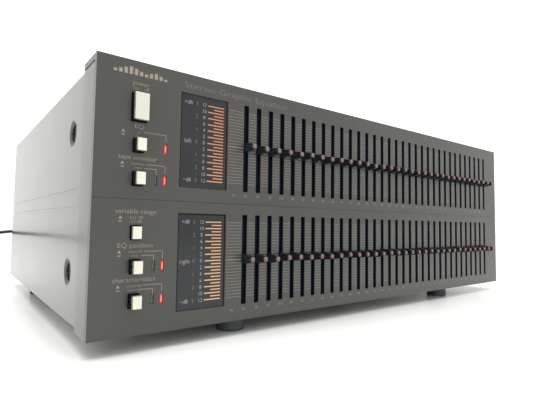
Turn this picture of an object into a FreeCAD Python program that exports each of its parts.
"""Two-channel, 33-band graphic equalizer of full rack width, as separate solids in one frame.

Millimetres. +X is to the right of the fascia, +Y is to the rear, +Z is up.
The origin is under the middle of the box (without the mains cord), on the surface the feet stand on.
Each node is written to parts/NODE.step.
"""

import FreeCAD, Part
import math
import os

V = FreeCAD.Vector

# ---- driving dimensions -----------------------------------------------------
WIDTH = 430.0                 # fascia, the usual full width of separates
FASCIA_H = 144.0
FASCIA_D = 23.8               # fascia plate and the frame behind it
PLATE_T = 3.0                 # fascia plate
TOP_RAIL_T = 3.3
BOTTOM_LIP_T = 2.4
CHEEK_T = 3.0
CHEEK_GAP = 0.6               # shadow gap under the top rail
BODY_D = 306.7                # fascia front face to rear panel
FOOT_DROP = 9.0               # fascia's lower edge above the surface
SHEET_T = 1.2                 # pressed steel
COVER_INSET = 0.4             # cover side behind the fascia side
COVER_TOP = 140.6             # above the fascia's lower edge
CLEAR = 0.3                   # running clearance

KNOB_REACH = 10.0             # knob tip in front of the fascia
JACK_REACH = 10.0             # phono jack behind the rear panel
DEPTH = KNOB_REACH + BODY_D + JACK_REACH
FRONT_Y = KNOB_REACH - DEPTH / 2
REAR_Y = FRONT_Y + BODY_D
HALF_W = WIDTH / 2
BASE_Z = FOOT_DROP

BANDS = ("16hz", "20hz", "25hz", "31hz5", "40hz", "50hz", "63hz", "80hz", "100hz", "125hz", "160hz",
         "200hz", "250hz", "315hz", "400hz", "500hz", "630hz", "800hz", "1khz", "1khz25", "1khz6",
         "2khz", "2khz5", "3khz15", "4khz", "5khz", "6khz3", "8khz", "10khz", "12khz5", "16khz",
         "20khz", "25khz")
BAND_PITCH = 9.76
FIRST_BAND_X = -123.75
SLOT_W = 3.54
SLOT_H = 54.6
CHANNEL_Z = (BASE_Z + 36.8, BASE_Z + 105.7)    # slot centres, right channel below, left above

KNOB_W = 2.8
KNOB_ROOT_H = 6.0
KNOB_TIP_H = 2.7
KNOB_BULGE = 0.5              # half height at the middle, short of the root's
KNOB_BACK = 2.0               # the knob's root inside the plate
HAND_SET = 0.35               # how far a knob set by hand stands from its centre detent
LEVER_W = 1.2
LEVER_H = 4.0
POT_FRONT = 7.2               # behind the fascia's front face
POT_D = 7.0
POT_W = 7.4
POT_H = 60.0
POT_CHANNEL = (2.2, 51.0, 4.6)                 # the wiper's channel: width, height, depth
LEVER_END = POT_FRONT + 4.0
SUBCHASSIS_Y = 6.0            # behind the fascia's front face
BOARD_T = 1.6

BUTTON_X = 22.6 - HALF_W
# name: (centre z above the fascia's lower edge, width, height, reach in front of the plate)
BUTTONS = {
    "power_button": (119.2, 8.0, 14.8, 4.3),
    "eq_button": (98.9, 5.2, 7.0, 5.8),
    "tape_monitor_button": (81.3, 5.2, 7.0, 5.8),
    "range_button": (53.1, 5.2, 7.0, 2.8),
    "position_button": (35.5, 5.2, 7.0, 5.8),
    "characteristics_button": (17.9, 5.2, 7.0, 5.8),
}
BUTTON_GAP = 0.4
BUTTON_BACK = 3.4             # the button's rear face behind the plate's front
PLUNGER = 3.2
PLUNGER_END = 16.0
SWITCH_FRONT = 7.0
SWITCH_D = 18.0

LED_W, LED_H = 1.8, 5.6
LEDS = ((37.8, 98.7), (37.8, 81.3), (32.6, 81.3), (37.8, 35.4), (32.6, 35.6), (37.8, 17.8), (32.6, 18.2))

WINDOW_X = (46.4 - HALF_W, 77.6 - HALF_W)
WINDOW_H = 54.4
WINDOW_RECESS = 1.0
GROOVE_Z, GROOVE_W, GROOVE_DEPTH = 70.6, 0.5, 0.35

SIDE_SCREW_Y = 46.0           # behind the fascia's front face
SIDE_SCREW_Z = (29.7, 109.7)
DISH_R, DISH_D, SCREW_HEAD_R = 8.0, 3.0, 5.2
BEAD_Z = (66.0, 75.8)

FRONT_FOOT = (122.0, 17.0)    # from the centre, and behind the fascia's front face
REAR_FOOT = (197.0, 231.0)
FOOT_R, FOOT_TOP_R = 9.0, 8.6
FOOT_PAD_TOP = 4.6            # of the thick spots in the tray that the foot screws go into

REAR_SCREWS = [(x, BASE_Z + z) for x in (-205.0, 205.0) for z in (12.0, 130.0)]

JACK_X = (20.0, 44.0, 78.0, 102.0)
JACK_Z = (39.0, 67.0)
JACK_SHELL_R, JACK_BORE_R = 4.15, 1.6

CORD_D = 3.6
CORD_X, CORD_Z = -172.0, 55.5
RELIEF_L = 22.0
CORD_ROUTE = (
    (-172.0, 175.35, 55.5), (-173.0, 196.0, 57.0), (-189.0, 208.0, 57.5), (-210.0, 207.5, 55.4),
    (-232.0, 206.0, 53.0), (-256.0, 205.0, 51.0), (-282.0, 202.0, 48.0), (-308.0, 194.0, 41.5),
    (-331.0, 179.0, 30.5), (-347.0, 157.0, 16.5), (-356.0, 132.0, 5.2), (-359.0, 108.0, 1.82),
    (-359.6, 88.0, 1.82), (-359.6, 70.0, 1.82),
)
TAIL_ROUTE = (
    (-359.6, 56.0, 13.3), (-358.0, 36.0, 9.0), (-353.0, 16.0, 3.4), (-346.0, -2.0, 3.6),
    (-342.0, -20.0, 6.85),
)
COIL_AT = (-336.0, 60.0)
COIL_MID_R, COIL_HALF_W, COIL_H = 20.0, 5.6, 16.0
PLUG_AT = (-342.0, -20.0)
PLUG_L, PLUG_W, PLUG_T = 35.0, 35.3, 13.7
PIN_R, PIN_L, PIN_SPACING = 2.0, 19.0, 18.6


# ---- small helpers ----------------------------------------------------------
def box(x0, x1, y0, y1, z0, z1):
    """A box whose y is measured back from the fascia's front face and z from its lower edge."""
    return Part.makeBox(x1 - x0, y1 - y0, z1 - z0, V(x0, FRONT_Y + y0, BASE_Z + z0))


def rod(radius, start, end):
    """A cylinder between two points in the part's own frame."""
    axis = V(*end) - V(*start)
    return Part.makeCylinder(radius, axis.Length, V(*start), axis)


def cone(r0, r1, start, end):
    axis = V(*end) - V(*start)
    return Part.makeCone(r0, r1, axis.Length, V(*start), axis)


def centred(x, z, w, h, y0, y1):
    """A box centred on x, z (z from the fascia's lower edge)."""
    return box(x - w / 2, x + w / 2, y0, y1, z - h / 2, z + h / 2)


def from_base(z):
    return z - BASE_Z


def band_x(i):
    return FIRST_BAND_X + i * BAND_PITCH


def prism(outline, direction):
    """The solid of a flat outline, swept straight along a vector."""
    points = [V(*p) for p in outline]
    return Part.Face(Part.makePolygon(points + points[:1])).extrude(V(*direction))


def save(name, solids):
    """Write one node from a list of solids."""
    flat = [s for shape in solids for s in shape.Solids]
    shape = flat[0] if len(flat) == 1 else Part.makeCompound(flat)
    shape.exportStep(f"parts/{name}.step")
    print(f"{name}: {len(flat)} solid(s), {sum(s.Volume for s in flat) / 1000:.1f} cm3")


def filleted(shape, radius, keep):
    """Round the straight edges of a shape whose centre passes a test."""
    return shape.makeFillet(radius, [e for e in shape.Edges if keep(e)])


# ---- fascia -----------------------------------------------------------------
def slot(x, z, extra=0.0):
    h = SLOT_H / 2 + extra
    return box(x - SLOT_W / 2 - extra, x + SLOT_W / 2 + extra, -1, SUBCHASSIS_Y + 3, z - h, z + h)


def front_panel():
    plate = box(-HALF_W, HALF_W, 0, PLATE_T, 0, FASCIA_H)
    rail = box(-HALF_W, HALF_W, PLATE_T, FASCIA_D, FASCIA_H - TOP_RAIL_T, FASCIA_H)
    inner = HALF_W - CHEEK_T
    lip = box(-inner, inner, PLATE_T, FASCIA_D, 0, BOTTOM_LIP_T)
    body = plate.fuse([rail, lip]).removeSplitter()
    cuts = [slot(band_x(i), from_base(z)) for z in CHANNEL_Z for i in range(len(BANDS))]
    for z, w, h, _ in BUTTONS.values():
        cuts.append(centred(BUTTON_X, z, w + 2 * BUTTON_GAP, h + 2 * BUTTON_GAP, -1, PLATE_T + 1))
    for x, z in LEDS:
        cuts.append(centred(x - HALF_W, z, LED_W, LED_H, -1, PLATE_T + 1))
    for z in CHANNEL_Z:
        middle = from_base(z)
        cuts.append(box(*WINDOW_X, -1, PLATE_T + 1, middle - WINDOW_H / 2, middle + WINDOW_H / 2))
    cuts.append(centred(0, GROOVE_Z, WIDTH + 2, GROOVE_W, -1, GROOVE_DEPTH))
    cuts += [rod(2.1, (x, y, BASE_Z - 1), (x, y, BASE_Z + 3)) for x, y in foot_places()[:2]]
    return body.cut(cuts)


def end_cheeks():
    top = FASCIA_H - TOP_RAIL_T - CHEEK_GAP
    inner = HALF_W - CHEEK_T
    return [box(a, b, PLATE_T, FASCIA_D, 0, top) for a, b in ((-HALF_W, -inner), (inner, HALF_W))]


def scale_windows():
    made = []
    for z in CHANNEL_Z:
        middle = from_base(z)
        pane = box(*WINDOW_X, WINDOW_RECESS, PLATE_T, middle - WINDOW_H / 2, middle + WINDOW_H / 2)
        edge = box(WINDOW_X[0] - 1.5, WINDOW_X[1] + 1.5, PLATE_T, PLATE_T + 1,
                   middle - WINDOW_H / 2 - 1.5, middle + WINDOW_H / 2 + 1.5)
        made.append(pane.fuse(edge).removeSplitter())
    return made


def indicator_leds():
    return [centred(x - HALF_W, z, LED_W, LED_H, 0.3, 5.6) for x, z in LEDS]


# ---- sliders ----------------------------------------------------------------
def knob(x, z):
    """A wedge lever with faintly bulged upper and lower faces, and a flat tip."""
    def side(sign):
        return (V(x - KNOB_W / 2, FRONT_Y + KNOB_BACK, z + sign * KNOB_ROOT_H / 2),
                V(x - KNOB_W / 2, FRONT_Y - 5.0, z + sign * (KNOB_ROOT_H / 2 - KNOB_BULGE)),
                V(x - KNOB_W / 2, FRONT_Y - KNOB_REACH, z + sign * KNOB_TIP_H / 2))
    upper, lower = side(1), side(-1)
    wire = Part.Wire([
        Part.Arc(*upper).toShape(),
        Part.LineSegment(upper[2], lower[2]).toShape(),
        Part.Arc(*reversed(lower)).toShape(),
        Part.LineSegment(lower[0], upper[0]).toShape(),
    ])
    return Part.Face(wire).extrude(V(KNOB_W, 0, 0))


def hand_set(i, channel):
    """How far this knob rests from its detent: a hand leaves each a little off, the right channel higher."""
    wander = 0.6 * math.sin(2.3 * i + 1.9 * channel) + 0.6 * math.sin(5.1 * i + channel)
    return HAND_SET * (wander + 1 - channel)


def band_sliders(i):
    made = []
    for channel, centre in enumerate(CHANNEL_Z):
        z = centre + hand_set(i, channel)
        made.append(knob(band_x(i), z))
        made.append(centred(band_x(i), from_base(z), LEVER_W, LEVER_H, KNOB_BACK, LEVER_END))
    return made


def slide_pot_bodies():
    made = []
    width, height, depth = POT_CHANNEL
    for z in CHANNEL_Z:
        for i in range(len(BANDS)):
            body = centred(band_x(i), from_base(z), POT_W, POT_H, POT_FRONT, POT_FRONT + POT_D)
            channel = centred(band_x(i), from_base(z), width, height, POT_FRONT - 1, POT_FRONT + depth)
            made.append(body.cut(channel))
    return made


def slider_boards():
    back = POT_FRONT + POT_D
    x0, x1 = band_x(0) - 8, band_x(len(BANDS) - 1) + 8
    return [box(x0, x1, back, back + BOARD_T, from_base(z) - 31.5, from_base(z) + 31.5)
            for z in CHANNEL_Z]


def front_subchassis():
    """Steel plate that carries the slide controls and the switches, between the two cheeks."""
    inner = HALF_W - CHEEK_T
    plate = box(-inner, inner, SUBCHASSIS_Y, POT_FRONT, BOTTOM_LIP_T, FASCIA_H - TOP_RAIL_T)
    width, height, _ = POT_CHANNEL
    cuts = [centred(band_x(i), from_base(z), width, height, 0, POT_FRONT + 1)
            for z in CHANNEL_Z for i in range(len(BANDS))]
    for z, w, h, _ in BUTTONS.values():
        cuts.append(centred(BUTTON_X, z, w + 3, h + 2, 0, POT_FRONT + 1))
    return plate.cut(cuts)


# ---- buttons ----------------------------------------------------------------
def button(name):
    z, w, h, reach = BUTTONS[name]
    cap = centred(BUTTON_X, z, w, h, -reach, BUTTON_BACK)
    edges = [e for e in cap.Edges if abs(e.CenterOfMass.y - (FRONT_Y - reach)) < 1e-6]
    cap = cap.makeChamfer(0.4, edges)
    plunger = centred(BUTTON_X, z, PLUNGER, PLUNGER, BUTTON_BACK, PLUNGER_END - reach)
    return cap.fuse(plunger).removeSplitter()


def switch_bodies():
    """A latching push switch behind each button, with a guide hole for the button's plunger."""
    made = []
    hole = PLUNGER + 2 * CLEAR
    for z, _, h, _ in BUTTONS.values():
        body = centred(BUTTON_X, z, 13.0, max(h + 3.0, 11.0), POT_FRONT, POT_FRONT + SWITCH_D)
        made.append(body.cut(centred(BUTTON_X, z, hole, hole, 0, PLUNGER_END)))
    return made


# ---- chassis and cover ------------------------------------------------------
COVER_X = HALF_W - COVER_INSET
TRAY_X = COVER_X - SHEET_T
POST_X = TRAY_X - DISH_D + SHEET_T


def foot_places():
    return [(side * x, FRONT_Y + y) for x, y in (FRONT_FOOT, REAR_FOOT) for side in (-1, 1)]


def both_sides(shape):
    return [shape, shape.mirror(V(0, 0, 0), V(1, 0, 0))]


def chassis_tray():
    floor_top = BOTTOM_LIP_T + SHEET_T
    floor = box(-TRAY_X, TRAY_X, FASCIA_D, BODY_D - SHEET_T, BOTTOM_LIP_T, floor_top)
    tongue = box(CHEEK_T - HALF_W, HALF_W - CHEEK_T, POT_FRONT, FASCIA_D, BOTTOM_LIP_T, floor_top)
    flange = box(TRAY_X - SHEET_T, TRAY_X, 70, BODY_D - SHEET_T, BOTTOM_LIP_T, 16)
    post = box(POST_X - SHEET_T, POST_X, SIDE_SCREW_Y - 12, SIDE_SCREW_Y + 16, BOTTOM_LIP_T, 128)
    pillars = [rod(4.0, (x, FRONT_Y + y, BASE_Z + BOTTOM_LIP_T), (x, FRONT_Y + y, BASE_Z + 12))
               for x in (-90, 40, 170) for y in (75, 240)]
    pads = [rod(5.0, (x, y, BASE_Z + low), (x, y, BASE_Z + FOOT_PAD_TOP))
            for (x, y), low in zip(foot_places(), (BOTTOM_LIP_T, BOTTOM_LIP_T, 0, 0))]
    tray = floor.fuse([tongue, *both_sides(flange), *both_sides(post), *pillars, *pads]).removeSplitter()
    y = FRONT_Y + SIDE_SCREW_Y
    holes = [rod(2.2, (-HALF_W, y, BASE_Z + z), (HALF_W, y, BASE_Z + z)) for z in SIDE_SCREW_Z]
    holes += [rod(2.1, (x, y, BASE_Z), (x, y, BASE_Z + 8)) for x, y in foot_places()]
    return tray.cut(holes)


def top_cover():
    """Pressed steel cover: top and two sides, dished for its screws, with two beads along each side."""
    outer = box(-COVER_X, COVER_X, FASCIA_D, BODY_D, BOTTOM_LIP_T, COVER_TOP)
    outer = filleted(outer, 1.5, lambda e: abs(e.CenterOfMass.z - BASE_Z - COVER_TOP) < 1e-6
                     and abs(abs(e.CenterOfMass.x) - COVER_X) < 1e-6)
    inner = box(-TRAY_X, TRAY_X, FASCIA_D - 1, BODY_D + 1, BOTTOM_LIP_T - 1, COVER_TOP - SHEET_T)
    cover = outer.cut(inner)
    y = FRONT_Y + SIDE_SCREW_Y
    dishes, cuts = [], []
    for z in (BASE_Z + h for h in SIDE_SCREW_Z):
        dishes += both_sides(rod(DISH_R + 1.5, (POST_X, y, z), (TRAY_X, y, z)))
        cuts += both_sides(cone(DISH_R, SCREW_HEAD_R + 0.6, (COVER_X, y, z), (COVER_X - DISH_D + 0.8, y, z)))
        cuts += both_sides(rod(2.4, (POST_X - 1, y, z), (COVER_X, y, z)))
    cuts += [s for z in BEAD_Z for s in both_sides(
        box(COVER_X - 0.6, COVER_X + 1, FASCIA_D + 5.2, BODY_D + 1, z - 1.0, z + 1.0))]
    for y0 in (150.0, 215.0):
        cuts += [box(x - 1.5, x + 1.5, y0, y0 + 45, COVER_TOP - 3, COVER_TOP + 1)
                 for x in (-150.0 + 12.5 * k for k in range(25))]
    return cover.fuse(dishes).cut(cuts).removeSplitter()


def rear_panel():
    panel = box(-TRAY_X, TRAY_X, BODY_D - SHEET_T, BODY_D, BOTTOM_LIP_T, COVER_TOP - SHEET_T)
    cuts = [rod(JACK_SHELL_R + 1.0, (x, REAR_Y - 5, z), (x, REAR_Y + 5, z)) for x in JACK_X for z in JACK_Z]
    cuts.append(rod(5.0, (CORD_X, REAR_Y - 5, CORD_Z), (CORD_X, REAR_Y + 5, CORD_Z)))
    cuts += [rod(1.6, (x, REAR_Y - 5, z), (x, REAR_Y + 5, z)) for x, z in REAR_SCREWS]
    return panel.cut(cuts)


def cover_screws():
    made = []
    y = FRONT_Y + SIDE_SCREW_Y
    for z in (BASE_Z + h for h in SIDE_SCREW_Z):
        face = COVER_X - DISH_D + 0.8
        head = rod(SCREW_HEAD_R, (face, y, z), (face + 1.9, y, z))
        top = [e for e in head.Edges if abs(e.CenterOfMass.x - face - 1.9) < 1e-6 and e.Closed]
        head = head.makeFillet(1.2, top)
        shank = rod(2.0, (face - 9, y, z), (face, y, z))
        cross = [Part.makeBox(2, a, b, V(face + 0.8, y - a / 2, z - b / 2))
                 for a, b in ((1.2, 5.4), (5.4, 1.2))]
        made += both_sides(head.fuse(shank).cut(cross).removeSplitter())
    for x, z in REAR_SCREWS:
        head = rod(3.0, (x, REAR_Y, z), (x, REAR_Y + 1.8, z))
        shank = rod(1.5, (x, REAR_Y - 6, z), (x, REAR_Y, z))
        cross = [Part.makeBox(a, 2, b, V(x - a / 2, REAR_Y + 0.9, z - b / 2))
                 for a, b in ((0.8, 3.4), (3.4, 0.8))]
        made.append(head.fuse(shank).cut(cross).removeSplitter())
    return made


# ---- feet -------------------------------------------------------------------
def feet():
    made = []
    top = BASE_Z
    for x, y in foot_places():
        body = cone(FOOT_R, FOOT_TOP_R, (x, y, 0), (x, y, top))
        body = body.cut([rod(2.2, (x, y, -1), (x, y, top + 1)), rod(5.0, (x, y, -1), (x, y, top - 4))])
        made.append(body)
    return made


def foot_screws():
    made = []
    head_z = BASE_Z - 4
    for x, y in foot_places():
        head = rod(3.8, (x, y, head_z - 2.4), (x, y, head_z))
        made.append(head.fuse(rod(1.9, (x, y, head_z), (x, y, head_z + 8.5))).removeSplitter())
    return made


# ---- inside -----------------------------------------------------------------
def main_board():
    """Filter board on its pillars, with its reservoir capacitors and filter chips soldered on."""
    z = 12.0
    board = box(-110, 190, 62, 262, z, z + BOARD_T)
    tall = [rod(9.0, (x, FRONT_Y + 235, BASE_Z + z), (x, FRONT_Y + 235, BASE_Z + z + 32)) for x in (-80, -55)]
    low = [rod(4.0, (x, FRONT_Y + y, BASE_Z + z), (x, FRONT_Y + y, BASE_Z + z + 14))
           for x in range(-20, 181, 25) for y in (110, 200)]
    chips = [box(x, x + 20, y, y + 7, z, z + BOARD_T + 4)
             for x in range(-90, 171, 26) for y in (80, 140, 170)]
    return board.fuse(tall + low + chips).removeSplitter()


def transformer():
    core = box(-190, -138, 170, 232, BOTTOM_LIP_T + SHEET_T, 52)
    winding = box(-182, -146, 158, 244, 12, 44)
    return core.fuse(winding).removeSplitter()


# ---- rear sockets and the mains cord ----------------------------------------
def phono_jacks():
    made = []
    for x in JACK_X:
        for z in JACK_Z:
            flange = rod(6.0, (x, REAR_Y, z), (x, REAR_Y + 1.4, z))
            shell = rod(JACK_SHELL_R, (x, REAR_Y, z), (x, REAR_Y + JACK_REACH, z))
            block = Part.makeBox(14, 10, 14, V(x - 7, REAR_Y - SHEET_T - 10, z - 7))
            neck = rod(JACK_SHELL_R + 1.0, (x, REAR_Y - SHEET_T, z), (x, REAR_Y, z))
            bore = rod(JACK_BORE_R, (x, REAR_Y - 4, z), (x, REAR_Y + JACK_REACH + 1, z))
            made.append(block.fuse([neck, flange, shell]).cut(bore).removeSplitter())
    return made


def cord_strain_relief():
    """Moulded grommet: a flange each side of the panel and a sleeve that narrows to the cord."""
    x, z = CORD_X, CORD_Z
    flange = rod(7.0, (x, REAR_Y, z), (x, REAR_Y + 2.5, z))
    neck = rod(5.0, (x, REAR_Y - SHEET_T, z), (x, REAR_Y, z))
    inner = rod(7.0, (x, REAR_Y - SHEET_T - 3, z), (x, REAR_Y - SHEET_T, z))
    sleeve = cone(4.4, 2.5, (x, REAR_Y + 2.5, z), (x, REAR_Y + RELIEF_L, z))
    return flange.fuse([neck, inner, sleeve]).removeSplitter()


def rounded_path(points):
    """Straight runs joined by tangent arcs, each as large as its two runs allow: (wire, length, radii)."""
    points = [V(*p) for p in points]
    edges, radii, here = [], [], points[0]
    for before, corner, after in zip(points, points[1:], points[2:]):
        back, on = before - corner, after - corner
        turn = math.pi - back.getAngle(on)
        reach = 0.45 * min(back.Length, on.Length)
        radii.append(reach / math.tan(turn / 2))
        a = corner + back.normalize() * reach
        b = corner + on.normalize() * reach
        half = (back + on).normalize()
        middle = corner + half * (radii[-1] / math.cos(turn / 2) - radii[-1])
        edges += [Part.LineSegment(here, a).toShape(), Part.Arc(a, middle, b).toShape()]
        here = b
    edges.append(Part.LineSegment(here, points[-1]).toShape())
    wire = Part.Wire(edges)
    return wire, sum(e.Length for e in edges), radii


def tube(points, diameter):
    wire, length, radii = rounded_path(points)
    start = V(*points[0])
    along = V(*points[1]) - start
    section = Part.Wire([Part.makeCircle(diameter / 2, start, along)])
    solid = wire.makePipeShell([section], True, True)
    expected = math.pi * diameter ** 2 / 4 * length
    print(f"cord run {length:.1f} mm, volume / (section x length) {solid.Volume / expected:.4f}, "
          f"radii {' '.join(f'{r:.0f}' for r in radii)}")
    return solid


def mains_cord():
    return [tube(CORD_ROUTE, CORD_D), tube(TAIL_ROUTE, CORD_D)]


def cord_coil():
    x, y = COIL_AT
    ring = rod(COIL_MID_R + COIL_HALF_W, (x, y, 0), (x, y, COIL_H))
    return ring.cut(rod(COIL_MID_R - COIL_HALF_W, (x, y, -1), (x, y, COIL_H + 1)))


def mains_plug():
    """Flat two-pin plug lying on its wide side, with its cord end at +Y and its pins at -Y."""
    x, y = PLUG_AT
    z, half = PLUG_T / 2, PLUG_W / 2
    neck = cone(2.6, 4.6, (x, y, z), (x, y - 9, z))
    outline = [(x - 7, y - 9, 0.0), (x - half, y - 24, 0.0), (x - half, y - PLUG_L, 0.0),
               (x + half, y - PLUG_L, 0.0), (x + half, y - 24, 0.0), (x + 7, y - 9, 0.0)]
    body = prism(outline, (0, 0, PLUG_T))
    pins = [rod(PIN_R, (x + s * PIN_SPACING / 2, y - PLUG_L + 2, z),
                (x + s * PIN_SPACING / 2, y - PLUG_L - PIN_L, z)) for s in (-1, 1)]
    return body.fuse([neck, *pins]).removeSplitter()


# ---- write every node -------------------------------------------------------
os.makedirs("parts", exist_ok=True)

save("front_panel", [front_panel()])
save("end_cheeks", end_cheeks())
save("scale_windows", scale_windows())
save("indicator_leds", indicator_leds())
save("front_subchassis", [front_subchassis()])
save("slide_pot_bodies", slide_pot_bodies())
save("slider_boards", slider_boards())
save("switch_bodies", switch_bodies())
save("chassis_tray", [chassis_tray()])
save("top_cover", [top_cover()])
save("rear_panel", [rear_panel()])
save("cover_screws", cover_screws())
save("feet", feet())
save("foot_screws", foot_screws())
save("main_board", [main_board()])
save("transformer", [transformer()])
save("phono_jacks", phono_jacks())
save("cord_strain_relief", [cord_strain_relief()])
save("mains_cord", mains_cord())
save("cord_coil", [cord_coil()])
save("mains_plug", [mains_plug()])
for name in BUTTONS:
    save(name, [button(name)])
for i, band in enumerate(BANDS):
    save(f"sliders_{band}", band_sliders(i))
